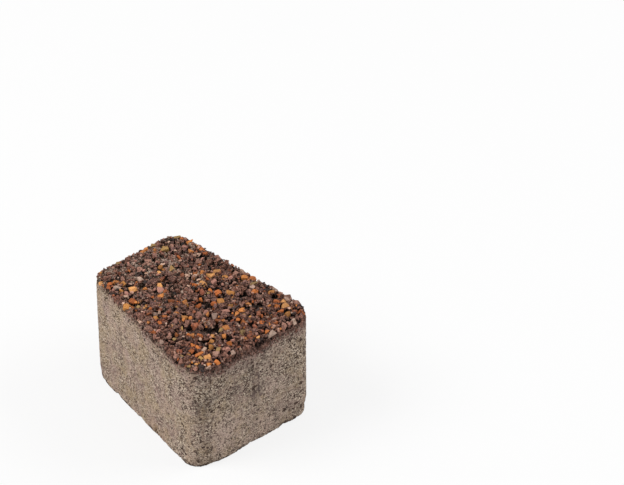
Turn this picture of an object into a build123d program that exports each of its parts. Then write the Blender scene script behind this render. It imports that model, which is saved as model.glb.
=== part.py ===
from build123d import *
import os

# Concrete paver: one pressed stone, a symmetric trapezoid in plan, with a washed aggregate face.
# Frame, in millimetres: the origin is the centre of the bed face, +Z points up to the walking face,
# and +Y points from the wide end to the narrow end.

# Driving dimensions
WIDE_END = 75.0  # width at the wide end, between the sharp corners of the flanks
NARROW_END = 54.0  # width at the narrow end, between the sharp corners of the flanks
LENGTH = 92.0  # from the wide end to the narrow end
THICKNESS = 60.0  # from the bed to the tops of the exposed stones
CORNER_RADIUS = 10.0  # upright corners, seen in plan
FACE_RIM_RADIUS = 2.0  # rim of the walking face, rounded where the face mix is washed out
BED_ARRIS_RADIUS = 0.8  # lower edge, worn where the stone left its mould


def plan_of_stone() -> Sketch:
    """The trapezoid between both ends and both flanks, with its four corners rounded."""
    half_wide = WIDE_END / 2
    half_narrow = NARROW_END / 2
    half_length = LENGTH / 2
    with BuildSketch() as plan:
        with BuildLine():
            Polyline(
                (-half_wide, -half_length),
                (half_wide, -half_length),
                (half_narrow, half_length),
                (-half_narrow, half_length),
                close=True,
            )
        make_face()
        fillet(plan.vertices(), CORNER_RADIUS)
    return plan.sketch


def pressed_stone() -> Part:
    """The plan pressed to its thickness, with the worn edges round the face and the bed."""
    with BuildPart() as stone:
        add(plan_of_stone())
        extrude(amount=THICKNESS)
        walking_face = stone.faces().sort_by(Axis.Z)[-1]
        fillet(walking_face.edges(), FACE_RIM_RADIUS)
        bed_face = stone.faces().sort_by(Axis.Z)[0]
        fillet(bed_face.edges(), BED_ARRIS_RADIUS)
    return stone.part


os.makedirs("parts", exist_ok=True)
paver = pressed_stone()
export_step(paver, "parts/paver.step")
print(f"paver: volume {paver.volume:.0f} mm3, size {paver.bounding_box().size}")
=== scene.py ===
import logging
import math
from collections.abc import Callable
from dataclasses import dataclass, field
from enum import Enum

import bpy
import numpy as np
from mathutils import Euler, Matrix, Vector
from mathutils.kdtree import KDTree


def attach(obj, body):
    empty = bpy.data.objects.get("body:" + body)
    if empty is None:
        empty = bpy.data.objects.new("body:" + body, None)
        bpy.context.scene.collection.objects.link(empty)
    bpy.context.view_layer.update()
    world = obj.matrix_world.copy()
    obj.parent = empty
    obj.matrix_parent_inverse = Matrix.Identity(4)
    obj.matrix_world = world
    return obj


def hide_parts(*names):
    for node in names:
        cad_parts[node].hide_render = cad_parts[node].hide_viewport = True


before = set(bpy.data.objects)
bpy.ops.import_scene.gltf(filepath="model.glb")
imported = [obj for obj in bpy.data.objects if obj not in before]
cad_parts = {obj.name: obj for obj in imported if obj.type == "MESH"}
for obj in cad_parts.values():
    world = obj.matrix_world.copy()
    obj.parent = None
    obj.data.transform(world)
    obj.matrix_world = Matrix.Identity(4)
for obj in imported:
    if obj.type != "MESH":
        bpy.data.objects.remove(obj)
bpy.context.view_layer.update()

MM = 0.001
NODE = "paver"
BODY = "root"
BAKE_MAP = "OFBake"
COLOUR_LAYER = "stone_colour"
HOLLOW_LAYER = "hollow"

Colour = tuple[float, float, float]
Point = tuple[float, float, float]
Array = np.ndarray
Chance = np.random.Generator
Socket = bpy.types.NodeSocket
EVEN: Point = (1.0, 1.0, 1.0)
DARKEST, BRIGHTEST = 0.005, 1.0
log = logging.getLogger("paver")


def srgb(red: int, green: int, blue: int) -> Colour:
    """Turns a colour's screen values into the linear values that shaders take.

    Args:
        red: Red, from 0 to 255.
        green: Green, from 0 to 255.
        blue: Blue, from 0 to 255.

    Returns:
        The linear red, green and blue, from 0 to 1.
    """
    full, toe, slope, offset, power = 255, 0.04045, 12.92, 0.055, 2.4
    shares = (red / full, green / full, blue / full)
    return tuple(s / slope if s <= toe else ((s + offset) / (1 + offset)) ** power for s in shares)


def deselect_all() -> None:
    """Leaves object mode with nothing selected."""
    if bpy.context.object and bpy.context.object.mode != "OBJECT":
        bpy.ops.object.mode_set(mode="OBJECT")
    bpy.ops.object.select_all(action="DESELECT")


def activate(piece: bpy.types.Object) -> None:
    """Makes one object the only selected one, and the active one.

    Args:
        piece: The object.
    """
    deselect_all()
    piece.select_set(True)
    bpy.context.view_layer.objects.active = piece


def select_edges(piece: bpy.types.Object, wanted: Callable[[Vector, Vector], bool]) -> None:
    """Goes into edit mode with the edges selected whose two ends pass a test.

    Args:
        piece: The mesh object that is being shaped.
        wanted: Takes both ends of an edge and says whether it is selected.
    """
    bpy.ops.object.mode_set(mode="OBJECT")
    bpy.context.tool_settings.mesh_select_mode = (False, True, False)
    mesh = piece.data
    for items in (mesh.vertices, mesh.edges, mesh.polygons):
        items.foreach_set("select", [False] * len(items))
    for edge in mesh.edges:
        first, second = (mesh.vertices[index].co for index in edge.vertices)
        edge.select = wanted(first, second)
    bpy.ops.object.mode_set(mode="EDIT")


def select_faces(piece: bpy.types.Object, wanted: Array) -> None:
    """Goes into edit mode with some faces selected.

    Args:
        piece: The mesh object that is being shaped.
        wanted: True for each face that is selected.
    """
    bpy.ops.object.mode_set(mode="OBJECT")
    bpy.context.tool_settings.mesh_select_mode = (False, False, True)
    mesh = piece.data
    for items in (mesh.vertices, mesh.edges):
        items.foreach_set("select", [False] * len(items))
    mesh.polygons.foreach_set("select", wanted)
    bpy.ops.object.mode_set(mode="EDIT")


def apply_modifier(piece: bpy.types.Object, kind: str, **settings: object) -> None:
    """Adds one modifier to a piece and applies it.

    Args:
        piece: The mesh object.
        kind: Blender's name of the modifier.
        **settings: The modifier's properties.
    """
    activate(piece)
    modifier = piece.modifiers.new(kind.lower(), kind)
    for name, value in settings.items():
        setattr(modifier, name, value)
    bpy.ops.object.modifier_apply(modifier=modifier.name)


def read_all(items: bpy.types.bpy_prop_collection, name: str, width: int, kind: type = np.float32) -> Array:
    """Reads one property of all the vertices, faces or corners of a mesh.

    Args:
        items: The vertices, faces or corners.
        name: The property.
        width: How many numbers each of them has.
        kind: The kind of number.

    Returns:
        The numbers, in one row each where they are several.
    """
    values = np.empty(len(items) * width, kind)
    items.foreach_get(name, values)
    return values.reshape(-1, width) if width > 1 else values


def points_of(mesh: bpy.types.Mesh) -> Array:
    """The places of a mesh's vertices, one row each."""
    return read_all(mesh.vertices, "co", 3)


def colour_vertices(mesh: bpy.types.Mesh, colours: Array) -> None:
    """Keeps the stones' own colours, and how far they are mottled, with a mesh.

    Args:
        mesh: The mesh.
        colours: Red, green, blue and mottling at each vertex.
    """
    layer = mesh.attributes.new(COLOUR_LAYER, "FLOAT_COLOR", "POINT")
    layer.data.foreach_set("color", colours.astype(np.float32).ravel())


def add_bake_map(mesh: bpy.types.Mesh, sheet: Array) -> None:
    """Gives a mesh the map that its finish is baked to.

    Args:
        mesh: The mesh.
        sheet: The place of each corner of each face on the map, from 0 to 1.
    """
    layer = mesh.uv_layers.new(name=BAKE_MAP)
    layer.data.foreach_set("uv", sheet.astype(np.float32).ravel())


def smooth_step(values: Array, low: float, high: float) -> Array:
    """Rises softly from 0 at low to 1 at high.

    Args:
        values: Where the curve is read.
        low: The value that gives 0.
        high: The value that gives 1.

    Returns:
        The shares, from 0 to 1.
    """
    share = np.clip((values - low) / (high - low), 0, 1)
    return share * share * (3 - 2 * share)


@dataclass(frozen=True)
class StonePlan:
    """The stone seen from above: a symmetric trapezoid with rounded corners, and its height."""

    wide_end: float = 75.0 * MM
    narrow_end: float = 54.0 * MM
    length: float = 92.0 * MM
    thickness: float = 60.0 * MM
    corner_radius: float = 10.0 * MM
    arc_steps: int = 24

    @property
    def flank_turn(self) -> float:
        """The angle between a flank and the stone's length."""
        return math.atan2((self.wide_end - self.narrow_end) / 2, self.length)

    def setback(self, at_wide_end: bool) -> float:
        """How far from a sharp corner its rounding begins.

        Args:
            at_wide_end: True for the two corners of the wide end.

        Returns:
            The distance along the end face or the flank, in metres.
        """
        turn = -self.flank_turn if at_wide_end else self.flank_turn
        return self.corner_radius / math.tan((math.pi / 2 + turn) / 2)

    def arc_centres(self) -> Array:
        """The middles of the four corner roundings.

        Returns:
            Their places in plan, anticlockwise from the right of the wide end.
        """
        turn, radius = self.flank_turn, self.corner_radius
        reach = self.length / 2 - radius
        flank = self.wide_end / 2 * math.cos(turn) - self.length / 2 * math.sin(turn) - radius
        wide = (flank + reach * math.sin(turn)) / math.cos(turn)
        narrow = (flank - reach * math.sin(turn)) / math.cos(turn)
        return np.array([(wide, -reach), (narrow, reach), (-narrow, reach), (-wide, -reach)])

    def depth(self, places: Array) -> Array:
        """How far points lie inside the outline.

        Args:
            places: Points in plan, one row each.

        Returns:
            The distance from the outline, negative outside it.
        """
        corners = self.arc_centres()
        nearest = np.full(len(places), np.inf)
        within = np.ones(len(places), bool)
        for start, end in zip(corners, np.roll(corners, -1, axis=0), strict=True):
            along = end - start
            offset = places - start
            share = np.clip(offset @ along / (along @ along), 0, 1)
            nearest = np.minimum(nearest, np.linalg.norm(offset - share[:, None] * along, axis=1))
            within &= along[0] * offset[:, 1] - along[1] * offset[:, 0] >= 0
        return self.corner_radius + np.where(within, nearest, -nearest)

    def inward(self, places: Array, step: float = MM / 100) -> Array:
        """The level directions from points to the inside of the stone.

        Args:
            places: The points, one row each.
            step: How far the depth is felt, in metres.

        Returns:
            The directions in plan, one row each.
        """
        flat = places[:, :2]
        depth = self.depth(flat)
        slope = [self.depth(flat + way) - depth for way in np.eye(2) * step]
        return np.column_stack(slope) / step

    def walk(self) -> tuple[Array, Array, Array]:
        """Walks once round the outline.

        Returns:
            The distance walked, the places and the outward directions at the steps of the walk.
        """
        turn = self.flank_turn
        flank_angles = (turn, math.pi - turn)
        end_angles = (-math.pi / 2, math.pi / 2, 3 * math.pi / 2)
        spans = (
            (end_angles[0], flank_angles[0]),
            (flank_angles[0], end_angles[1]),
            (end_angles[1], flank_angles[1]),
            (flank_angles[1], end_angles[2]),
        )
        arcs = [np.linspace(start, end, self.arc_steps) for start, end in spans]
        angles = np.concatenate([*arcs, arcs[0][:1]])
        centres = np.repeat(self.arc_centres(), self.arc_steps, axis=0)
        centres = np.concatenate([centres, centres[:1]])
        outward = np.column_stack([np.cos(angles), np.sin(angles)])
        places = centres + self.corner_radius * outward
        steps = np.linalg.norm(np.diff(places, axis=0), axis=1)
        return np.concatenate([[0.0], np.cumsum(steps)]), places, outward


@dataclass(frozen=True)
class Ramp:
    """A soft rise or fall: where it starts and ends, and the values that it gives there."""

    start: float
    end: float
    low: float = 0.0
    high: float = 1.0


@dataclass(frozen=True)
class Cloud:
    """A cloudy pattern: its size and shift in millimetres, and the ramp that reads it."""

    size: float
    ramp: Ramp | None = None
    detail: float = 3.0
    shift: float = 0.0
    stretch: Point = EVEN


@dataclass(frozen=True)
class Grains:
    """A pattern of packed grains: their size, its shift and how far their edges stray, in millimetres."""

    size: float
    shift: float = 0.0
    ragged: float = 0.0
    stretch: Point = EVEN


@dataclass(frozen=True)
class Specks:
    """Round specks in some grains of a pattern: where a speck ends, and which grains have one."""

    grains: Grains
    rim: Ramp
    chosen: Ramp


@dataclass(frozen=True)
class Patch:
    """A soft round patch of the stone, in millimetres: where it is, its reach and its strength."""

    place: Point
    reach: float
    strength: float

    def felt(self, places: Array, core: float = 0.0) -> Array:
        """How strong the patch is at points.

        Args:
            places: The points, in metres, one row each.
            core: How far from its middle it keeps its full strength, as a share of its reach.

        Returns:
            Its strength at each of them.
        """
        away = np.linalg.norm(places / MM - self.place, axis=1)
        return self.strength * smooth_step(away, self.reach, core * self.reach)


class Nodes:
    """The nodes of a material or of the world, with short calls that add and feed them."""

    def __init__(self, tree: bpy.types.NodeTree) -> None:
        """Takes the node tree that the calls add to."""
        self.tree = tree

    def node(self, kind: str, **settings: object) -> bpy.types.Node:
        """Adds a node.

        Args:
            kind: Blender's name of the node.
            **settings: The node's properties.

        Returns:
            The new node.
        """
        made = self.tree.nodes.new(kind)
        for name, value in settings.items():
            setattr(made, name, value)
        return made

    def feed(self, socket: Socket, value: Socket | Colour | float) -> None:
        """Links a socket to another one, or sets its value.

        Args:
            socket: The input.
            value: An output to link, a colour or vector, or a number.
        """
        if isinstance(value, bpy.types.NodeSocket):
            self.tree.links.new(value, socket)
        elif socket.type == "RGBA":
            socket.default_value = (*value, 1.0)
        else:
            socket.default_value = value

    def sum_of(self, operation: str, first: Socket | float, second: Socket | float) -> Socket:
        """Works out one sum.

        Args:
            operation: Blender's name of the sum, such as ADD or SUBTRACT.
            first: The first number.
            second: The second number.

        Returns:
            The result.
        """
        made = self.node("ShaderNodeMath", operation=operation)
        self.feed(made.inputs[0], first)
        self.feed(made.inputs[1], second)
        return made.outputs[0]


class NodePad(Nodes):
    """A material's nodes, with one short call for each kind of pattern that the finishes share."""

    def __init__(self, name: str) -> None:
        """Starts the material with its shader, and with Object coordinates in millimetres.

        Args:
            name: The material's name.
        """
        self.material = bpy.data.materials.new(name)
        self.material.use_nodes = True
        super().__init__(self.material.node_tree)
        self.tree.nodes.clear()
        self.shader = self.node("ShaderNodeBsdfPrincipled")
        output = self.node("ShaderNodeOutputMaterial")
        self.feed(output.inputs["Surface"], self.shader.outputs["BSDF"])
        to_mm = self.node("ShaderNodeVectorMath", operation="SCALE")
        self.feed(to_mm.inputs["Scale"], 1 / MM)
        self.feed(to_mm.inputs[0], self.node("ShaderNodeTexCoord").outputs["Object"])
        self.place = to_mm.outputs[0]
        axes = self.node("ShaderNodeSeparateXYZ")
        self.feed(axes.inputs[0], self.place)
        self.across, self.along, self.height = axes.outputs

    def attribute(self, name: str) -> bpy.types.NodeOutputs:
        """The outputs that give what is kept with the mesh under a name."""
        return self.node("ShaderNodeAttribute", attribute_name=name).outputs

    def moved(self, place: Socket, factors: Point, offset: Socket | Point) -> Socket:
        """Stretches a place along each axis, then moves it.

        Args:
            place: The place.
            factors: What its X, Y and Z are multiplied by.
            offset: What is added to them.

        Returns:
            The new place.
        """
        made = self.node("ShaderNodeVectorMath", operation="MULTIPLY_ADD")
        for socket, value in zip(made.inputs, (place, factors, offset)):
            self.feed(socket, value)
        return made.outputs[0]

    def stretched(self, stretch: Point, shift: float) -> Socket:
        """The place in millimetres, divided along each axis and shifted, so that patterns differ.

        Args:
            stretch: How many times longer a pattern is along X, Y and Z.
            shift: How far the pattern is moved, in millimetres.

        Returns:
            The place that a pattern reads.
        """
        return self.moved(self.place, tuple(1 / s for s in stretch), (shift, shift, shift))

    def cloud(self, cloud: Cloud) -> Socket:
        """Adds a cloudy pattern.

        Args:
            cloud: The pattern.

        Returns:
            What its ramp gives, or its own value, about 0.3 to 0.7, where it has no ramp.
        """
        made = self.node("ShaderNodeTexNoise")
        self.feed(made.inputs["Vector"], self.stretched(cloud.stretch, cloud.shift))
        self.feed(made.inputs["Scale"], 1 / cloud.size)
        self.feed(made.inputs["Detail"], cloud.detail)
        value = made.outputs["Fac"]
        return self.span(value, cloud.ramp) if cloud.ramp else value

    def grains(self, grains: Grains) -> tuple[Socket, Socket]:
        """Adds a pattern of packed grains.

        Args:
            grains: The pattern.

        Returns:
            The distance from the nearest grain's middle, in grains, and that grain's own random number.
        """
        place = self.stretched(grains.stretch, grains.shift)
        if grains.ragged:
            stray = self.node("ShaderNodeTexNoise")
            self.feed(stray.inputs["Vector"], place)
            self.feed(stray.inputs["Scale"], 1 / grains.ragged)
            reach = 2 * grains.ragged
            place = self.moved(stray.outputs["Color"], (reach, reach, reach), place)
        made = self.node("ShaderNodeTexVoronoi")
        self.feed(made.inputs["Vector"], place)
        self.feed(made.inputs["Scale"], 1 / grains.size)
        own = self.node("ShaderNodeSeparateColor")
        self.feed(own.inputs[0], made.outputs["Color"])
        return made.outputs["Distance"], own.outputs[0]

    def specks(self, specks: Specks) -> Socket:
        """Adds round specks: 1 in the middle of a speck, 0 outside.

        Args:
            specks: The pattern.

        Returns:
            The share.
        """
        distance, own = self.grains(specks.grains)
        return self.times(self.span(distance, specks.rim), self.span(own, specks.chosen))

    def patch(self, patch: Patch) -> Socket:
        """Adds a patch.

        Args:
            patch: The patch.

        Returns:
            Its strength in its middle, down to 0 at its reach.
        """
        away = self.node("ShaderNodeVectorMath", operation="DISTANCE")
        self.feed(away.inputs[0], self.place)
        self.feed(away.inputs[1], patch.place)
        return self.span(away.outputs["Value"], Ramp(patch.reach, 0.0, 0.0, patch.strength))

    def span(self, value: Socket, ramp: Ramp) -> Socket:
        """Reads a value through a ramp.

        Args:
            value: What is read.
            ramp: The ramp.

        Returns:
            The result, which stops at the ramp's ends.
        """
        made = self.node("ShaderNodeMapRange", interpolation_type="SMOOTHSTEP")
        names = ("From Min", "From Max", "To Min", "To Max")
        for name, number in zip(names, (ramp.start, ramp.end, ramp.low, ramp.high)):
            self.feed(made.inputs[name], number)
        self.feed(made.inputs["Value"], value)
        return made.outputs["Result"]

    def times(self, first: Socket, second: Socket | float) -> Socket:
        """The product of two numbers."""
        return self.sum_of("MULTIPLY", first, second)

    def mix(self, share: Socket | float, under: Socket | Colour, over: Socket | Colour) -> Socket:
        """Lays one colour over another.

        Args:
            share: How much of the upper colour shows.
            under: The lower colour.
            over: The upper colour.

        Returns:
            The mixed colour.
        """
        made = self.node("ShaderNodeMix", data_type="RGBA")
        share_in, under_in, over_in = made.inputs[0], made.inputs[6], made.inputs[7]
        self.feed(share_in, share)
        self.feed(under_in, under)
        self.feed(over_in, over)
        return made.outputs[2]

    def bump(self, height: Socket, distance: float, under: Socket | None = None) -> Socket:
        """Turns a height into a surface direction.

        Args:
            height: The height, from 0 to 1.
            distance: How high 1 stands, in metres.
            under: The direction of a coarser bump below it.

        Returns:
            The direction.
        """
        made = self.node("ShaderNodeBump")
        self.feed(made.inputs["Distance"], distance)
        self.feed(made.inputs["Height"], height)
        if under is not None:
            self.feed(made.inputs["Normal"], under)
        return made.outputs[0]

    def close(self, colour: Socket, roughness: Socket, normal: Socket, shine: float) -> bpy.types.Material:
        """Gives the shader its colour, roughness, direction and shine.

        Args:
            colour: The base colour.
            roughness: The roughness.
            normal: The surface direction.
            shine: The shader's specular level.

        Returns:
            The finished material.
        """
        names = ("Base Color", "Roughness", "Normal", "Specular IOR Level")
        for name, value in zip(names, (colour, roughness, normal, shine)):
            self.feed(self.shader.inputs[name], value)
        return self.material


@dataclass(frozen=True)
class PressedConcrete:
    """The finish of the base mix, with the brown face mix above it. Sizes are in millimetres."""

    pale: Colour = srgb(193, 168, 145)
    dull: Colour = srgb(158, 134, 115)
    warm: Colour = srgb(174, 152, 118)
    cool: Colour = srgb(179, 150, 144)
    sand: Colour = srgb(234, 214, 192)
    bright: Colour = srgb(205, 180, 166)
    # The colour of pits and dark sand grains, and also of the painted shade in hollows and along the foot of
    # the walls
    pit: Colour = srgb(68, 50, 41)
    stain: Colour = srgb(88, 73, 69)
    rust: Colour = srgb(132, 96, 66)
    face_mix: Colour = srgb(118, 87, 77)
    face_pale: Colour = srgb(164, 121, 105)
    face_speck: Colour = srgb(196, 155, 137)
    # The dark mottles and grains of the face mix, and also the painted shade in its gaps and hollows
    face_dark_and_shade: Colour = srgb(22, 13, 10)
    smear: Colour = srgb(158, 130, 120)
    smear_dark: Colour = srgb(60, 42, 38)
    paste: Colour = srgb(150, 120, 109)
    shine: float = 0.2
    roughness: Cloud = Cloud(3.0, Ramp(0.3, 0.7, 0.82, 0.98), detail=2.0, shift=70.0)

    # The clouds of the concrete
    broad_clouds: Cloud = Cloud(15.0)
    close_clouds: Cloud = Cloud(5.0, shift=31.0, stretch=(1.0, 1.0, 1.5))
    paleness: Ramp = Ramp(0.75, 1.25)
    tint: Cloud = Cloud(11.0, Ramp(0.38, 0.62), shift=64.0)
    tint_share: float = 0.55
    rubbing: Cloud = Cloud(
        4.5, Ramp(0.48, 0.66, 0.0, 0.55), detail=2.0, shift=77.0, stretch=(1.0, 1.0, 9.0)
    )
    front: Ramp = Ramp(-10.0, -44.0)
    blotches: Cloud = Cloud(6.0, Ramp(0.5, 0.34, 0.0, 0.5), shift=91.0)
    bloom: Cloud = Cloud(5.0, Ramp(0.52, 0.66, 0.0, 0.55), shift=120.0)

    # Its sand, which shows more on the front
    crispness: Cloud = Cloud(8.0, Ramp(0.4, 0.6, 0.4, 1.0), shift=47.0)
    crisp_front: Ramp = Ramp(-10.0, -44.0, 1.1, 1.9)
    calm_left: Ramp = Ramp(-37.0, -16.0, 0.75, 1.0)
    coarse_sand: Grains = Grains(0.66, 3.0, stretch=(1.0, 1.35, 1.0))
    fine_sand: Grains = Grains(0.5, 6.0, stretch=(1.0, 1.35, 1.0))
    coarse_contrast: float = 0.95
    fine_contrast: float = 1.0
    sand_pale: Ramp = Ramp(0.5, 0.95, 0.0, 0.75)
    sand_dark: Ramp = Ramp(0.28, 0.04, 0.0, 0.85)
    sand_edge: Ramp = Ramp(0.35, 0.75, 0.0, 0.3)
    sand_top: Ramp = Ramp(0.75, 0.1)
    sand_height: float = 0.4
    skin: Cloud = Cloud(0.4, shift=60.0)
    skin_height: float = 0.42

    # Its pits, and the painted shade in its hollows
    pit_patches: Cloud = Cloud(7.0, Ramp(0.42, 0.6, 0.2, 1.0), shift=35.0)
    pit_front: Ramp = Ramp(0.0, 1.0, 0.4, 1.0)
    pits: tuple[Specks, ...] = (
        Specks(Grains(1.3, 12.0, 0.6), Ramp(0.42, 0.26), Ramp(0.62, 0.74)),
        Specks(Grains(2.3, 17.0, 0.6), Ramp(0.42, 0.26), Ramp(0.55, 0.67)),
        Specks(Grains(3.6, 29.0, 0.6), Ramp(0.42, 0.26), Ramp(0.7, 0.82)),
    )
    sunk_pits: Specks = Specks(Grains(1.3, 12.0, 0.6), Ramp(0.45, 0.2), Ramp(0.55, 0.7))
    sunk_depth: float = 0.5
    # Painted shade: the deeper the skin lies below its plain form, at worn edges, chips and pits, the darker
    # it is painted
    base_hollow_shade: Ramp = Ramp(0.55, 1.2, 0.0, 0.7)

    # Stained, rusty and clean places, and the painted shade along the foot of the walls
    patch_breaks: Cloud = Cloud(2.4, Ramp(0.36, 0.64, 0.1, 1.5), detail=4.0, shift=50.0)
    stains: tuple[Patch, ...] = (
        Patch((-0.5, -46.0, 38.3), 4.5, 0.95),
        Patch((0.5, -46.0, 29.0), 8.0, 0.75),
        Patch((-11.0, -46.0, 36.5), 4.5, 0.6),
        Patch((-26.5, -46.0, 40.5), 6.0, 0.65),
        Patch((-31.0, -44.0, 35.0), 8.5, 0.5),
        Patch((12.5, -46.0, 13.0), 4.5, 0.5),
        Patch((-4.0, -46.0, 48.0), 26.0, 0.32),
    )
    rusty: tuple[Patch, ...] = (Patch((-33.5, -10.0, 0.0), 12.0, 0.35),)
    clean: tuple[Patch, ...] = (
        Patch((0.0, -46.0, 6.0), 38.0, 0.36),
        Patch((12.0, -46.0, 27.0), 9.0, 0.5),
        Patch((-18.0, -46.0, 16.0), 16.0, 0.4),
    )
    # Painted shade: a dark line along the foot of the walls, where the bed edge turns under, with a
    # wandering top
    foot_shade_wander: Cloud = Cloud(4.5, Ramp(0.35, 0.65, -0.9, 1.9), shift=55.0)
    foot_shade_fall: Ramp = Ramp(2.0, 0.4, 0.0, 0.8)

    # The seam between the two fills
    face_edge: float = 57.0
    face_slope: float = 0.06
    seam_drop: float = 1.0
    seam_lifts: tuple[Patch, ...] = (
        Patch((-34.2, -41.3, 57.0), 13.0, 4.0),
        Patch((-9.0, -46.0, 56.0), 8.0, 1.5),
        Patch((4.0, -46.0, 55.0), 7.0, -2.5),
    )
    seam_wander: Cloud = Cloud(14.0, Ramp(0.3, 0.7, -1.4, 1.4), shift=20.0)
    seam_breaks: Cloud = Cloud(1.2, Ramp(0.3, 0.7, -2.3, 2.3), detail=4.0, shift=25.0)
    seam_rise: Ramp = Ramp(-0.5, 1.1)

    # The film below the seam
    smear_front: Ramp = Ramp(0.0, -38.0, 0.35, 1.0)
    smear_grains: Grains = Grains(0.8, 71.0, 0.4)
    smear_shade: Ramp = Ramp(0.2, 0.5)
    smear_breaks: Cloud = Cloud(1.6, Ramp(0.35, 0.65, 0.5, 1.4), shift=73.0)
    smear_rises: tuple[Ramp, ...] = (Ramp(-10.0, 0.0, 0.0, 0.2), Ramp(-4.5, 0.0, 0.0, 0.8))
    pores: Specks = Specks(Grains(1.3, 12.0, 0.6), Ramp(0.42, 0.26), Ramp(0.5, 0.65))
    pore_rise: Ramp = Ramp(-10.0, -2.0)

    # The face mix
    mottle: Cloud = Cloud(0.8, detail=4.0, shift=80.0)
    mottle_pale: Ramp = Ramp(0.5, 0.62, 0.0, 0.6)
    mottle_dark: Ramp = Ramp(0.5, 0.38, 0.0, 0.55)
    face_specks: Specks = Specks(Grains(0.8, 96.0), Ramp(0.5, 0.2), Ramp(0.72, 0.86))
    speck_share: float = 0.6
    face_grains: Grains = Grains(0.5, 86.0)
    face_grain_pale: Ramp = Ramp(0.6, 1.0, 0.0, 0.5)
    face_grain_dark: Ramp = Ramp(0.35, 0.0, 0.0, 0.6)
    # Painted shade: the deeper the face mix lies below its plain form, in the gaps between lumps, the nearer
    # black it is painted
    face_hollow_shade: Ramp = Ramp(0.75, 1.35, 0.0, 0.97)

    def seam(self, places: Array) -> Array:
        """The height at which the face mix ends on the walls, which rises towards the narrow end.

        Args:
            places: Points of the stone, in metres, one row each.

        Returns:
            The height at each of them, in metres.
        """
        height = self.face_edge + self.face_slope * places[:, 1] / MM - self.seam_drop
        for lift in self.seam_lifts:
            height += lift.felt(places)
        return height * MM

    def base_mix(self, pad: NodePad) -> Socket:
        """The grey-beige concrete: cloudy, sandy and pitted.

        Args:
            pad: The material's nodes.

        Returns:
            Its colour.
        """
        clouds = pad.sum_of("ADD", pad.cloud(self.broad_clouds), pad.cloud(self.close_clouds))
        colour = pad.mix(pad.span(clouds, self.paleness), self.dull, self.pale)
        colour = pad.mix(self.tint_share, colour, pad.mix(pad.cloud(self.tint), self.warm, self.cool))
        rubbed = pad.cloud(self.rubbing)
        colour = pad.mix(rubbed, colour, self.pale)
        front = pad.span(pad.along, self.front)
        for cloud, paint in ((self.blotches, self.stain), (self.bloom, self.bright)):
            colour = pad.mix(pad.times(pad.cloud(cloud), front), colour, paint)
        crisp = pad.times(pad.cloud(self.crispness), pad.sum_of("SUBTRACT", 1.0, rubbed))
        crisp = pad.times(crisp, pad.span(pad.along, self.crisp_front))
        crisp = pad.times(crisp, pad.span(pad.across, self.calm_left))
        sands = ((self.coarse_sand, self.coarse_contrast), (self.fine_sand, self.fine_contrast))
        for grains, contrast in sands:
            distance, own = pad.grains(grains)
            share = pad.times(crisp, contrast)
            pale = pad.times(share, pad.span(own, self.sand_pale))
            dark = pad.times(share, pad.span(own, self.sand_dark))
            edges = pad.times(share, pad.span(distance, self.sand_edge))
            colour = pad.mix(pale, colour, self.sand)
            colour = pad.mix(pad.sum_of("MAXIMUM", dark, edges), colour, self.pit)
        patches = pad.times(pad.cloud(self.pit_patches), pad.span(front, self.pit_front))
        for pits in self.pits:
            colour = pad.mix(pad.times(pad.specks(pits), patches), colour, self.pit)
        return colour

    def soiled(self, pad: NodePad, colour: Socket) -> Socket:
        """Lays the stains, the rusty edge and the cleaner places over the concrete.

        Args:
            pad: The material's nodes.
            colour: The plain concrete.

        Returns:
            The soiled colour.
        """
        breaks = pad.cloud(self.patch_breaks)
        coats = ((self.stains, self.stain), (self.rusty, self.rust), (self.clean, self.bright))
        for patches, paint in coats:
            for patch in patches:
                colour = pad.mix(pad.times(pad.patch(patch), breaks), colour, paint)
        return colour

    def face_layer(self, pad: NodePad, hollow: Socket) -> Socket:
        """The brown face mix: broken porphyry, with painted shade, nearly black, in its gaps and hollows.

        Args:
            pad: The material's nodes.
            hollow: How deep the surface lies below the paver's plain form.

        Returns:
            Its colour.
        """
        colour = pad.attribute(COLOUR_LAYER)["Color"]
        mottle = pad.cloud(self.mottle)
        _, own = pad.grains(self.face_grains)
        coats = (
            (pad.span(mottle, self.mottle_pale), self.face_pale),
            (pad.span(mottle, self.mottle_dark), self.face_dark_and_shade),
            (pad.times(pad.specks(self.face_specks), self.speck_share), self.face_speck),
            (pad.span(own, self.face_grain_pale), self.face_pale),
            (pad.span(own, self.face_grain_dark), self.face_dark_and_shade),
            # Painted shade in the gaps and hollows of the face mix
            (pad.span(hollow, self.face_hollow_shade), self.face_dark_and_shade),
        )
        for share, paint in coats:
            colour = pad.mix(share, colour, paint)
        return colour

    def above_seam(self, pad: NodePad) -> Socket:
        """How far a place lies above the wandering, broken seam, in millimetres.

        Args:
            pad: The material's nodes.

        Returns:
            The height, negative below the seam.
        """
        line = pad.sum_of("SUBTRACT", pad.height, self.face_edge)
        for cloud in (self.seam_wander, self.seam_breaks):
            line = pad.sum_of("ADD", line, pad.cloud(cloud))
        line = pad.sum_of("SUBTRACT", line, pad.times(pad.along, self.face_slope))
        for lift in self.seam_lifts:
            line = pad.sum_of("SUBTRACT", line, pad.patch(lift))
        return line

    def smeared(self, pad: NodePad, concrete: Socket, line: Socket) -> Socket:
        """Lays the film of face mix that ran down the walls over the concrete below the seam.

        Args:
            pad: The material's nodes.
            concrete: The soiled concrete.
            line: The height above the seam.

        Returns:
            The smeared colour.
        """
        _, own = pad.grains(self.smear_grains)
        paint = pad.mix(pad.span(own, self.smear_shade), self.smear_dark, self.smear)
        broken = pad.times(pad.span(pad.along, self.smear_front), pad.cloud(self.smear_breaks))
        for rise in self.smear_rises:
            concrete = pad.mix(pad.times(pad.span(line, rise), broken), concrete, paint)
        pores = pad.times(pad.specks(self.pores), pad.span(line, self.pore_rise))
        return pad.mix(pores, concrete, self.pit)

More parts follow.
